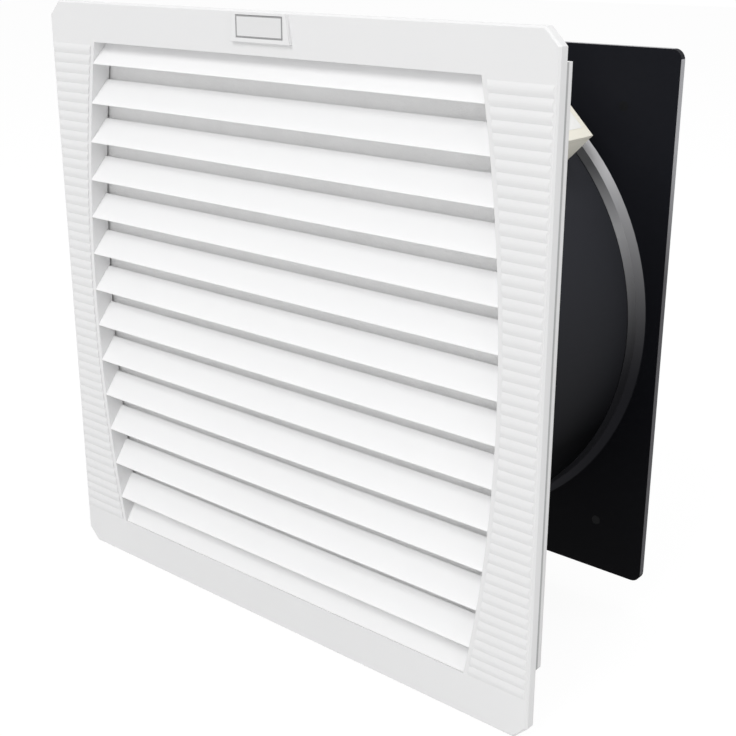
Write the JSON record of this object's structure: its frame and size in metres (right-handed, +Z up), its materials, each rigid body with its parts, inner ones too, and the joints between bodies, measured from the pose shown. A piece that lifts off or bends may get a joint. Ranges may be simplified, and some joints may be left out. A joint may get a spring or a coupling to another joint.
{
  "type": "enclosure fan",
  "caption": "Square filter fan for a cabinet panel: louvred cover on a foot hinge, clip-in frame with filter mat, round fan tunnel with guarded impeller, and terminal box with hinged lid.",
  "frame": {"origin": "centre of the panel cut-out, in the plane of the panel's front face, where the gasket lies on it", "axes": "+Y runs into the cabinet along the fan's axis, +Z up, +X to the right when facing +Y from the front"},
  "size_m": [0.323, 0.1512, 0.323],
  "materials": {
    "white_plastic": "fine moulded satin, light grey",
    "slat_plastic": "fine moulded satin, light grey",
    "label_stock": "smooth matt film",
    "foam": "closed-cell foam",
    "spring_steel": "bright spring steel",
    "zinc_steel": "zinc plated",
    "filter_fleece": "bonded white fleece",
    "black_sheet": "black semi-matt coating",
    "black_wire": "black coated wire",
    "black_screw": "black plated",
    "cast_aluminium": "as cast, turned seat",
    "core_steel": "stacked steel sheet",
    "copper_wire": "enamelled copper wire",
    "bearing_steel": "ground",
    "black_rotor": "black coating",
    "blade_metal": "dark grey coating",
    "cream_plastic": "smooth satin, cream",
    "block_plastic": "matt grey green",
    "brass": "turned",
    "black_nylon": "matt nylon",
    "black_rubber": "matt rubber",
    "cable_sheath": "satin cable sheath",
    "capacitor_case": "drawn can",
    "white_label": "smooth white film"
  },
  "bodies": {
    "frame": {"base_frame": "white_plastic", "panel_gasket": "foam", "panel_clips": "spring_steel", "clip_screws": "zinc_steel", "support_grid": "white_plastic", "filter_mat": "filter_fleece", "fan_tunnel": "black_sheet", "tunnel_screws": "black_screw", "rear_plate": "black_sheet", "guard_bars": "black_sheet", "guard_rings": "black_wire", "guard_studs": "black_screw", "guard_nuts": "zinc_steel", "motor_spider": "black_sheet", "spider_screws": "black_screw", "motor_flange": "cast_aluminium", "motor_screws": "zinc_steel", "stator_core": "core_steel", "stator_windings": "copper_wire", "front_bearing": "bearing_steel", "rear_bearing": "bearing_steel", "terminal_box": "cream_plastic", "box_screws": "zinc_steel", "terminal_block": "block_plastic", "terminal_screws": "brass", "cable_gland": "black_nylon", "gland_nut": "black_nylon", "lid_pin": "zinc_steel", "lead_grommet": "black_rubber", "motor_cable": "cable_sheath", "run_capacitor": "capacitor_case", "capacitor_clip": "zinc_steel", "capacitor_lead": "cable_sheath"},
    "front_cover": {"cover": "white_plastic", "louvre_slats": "slat_plastic", "blank_label": "label_stock", "hinge_pins": "zinc_steel"},
    "impeller": {"rotor_can": "black_rotor", "rotor_cage": "cast_aluminium", "rotor_shaft": "bearing_steel", "shaft_clip": "spring_steel", "impeller_hub": "black_rotor", "fan_blades": "blade_metal"},
    "terminal_cover": {"terminal_lid": "cream_plastic", "lid_label": "white_label"}
  },
  "joints": [
    {"name": "cover_hinge", "type": "hinge", "parent": "frame", "child": "front_cover", "pos_m": [0, -0.0039, -0.1593], "axis": [1, 0, 0], "range_deg": [0, 90]},
    {"name": "impeller_spin", "type": "hinge", "parent": "frame", "child": "impeller", "pos_m": [0, 0, 0], "axis": [0, 1, 0], "continuous": true},
    {"name": "lid_hinge", "type": "hinge", "parent": "frame", "child": "terminal_cover", "pos_m": [0.08019, 0.0888, 0.127], "axis": [0, -1, 0], "range_deg": [0, 100]}
  ]
}
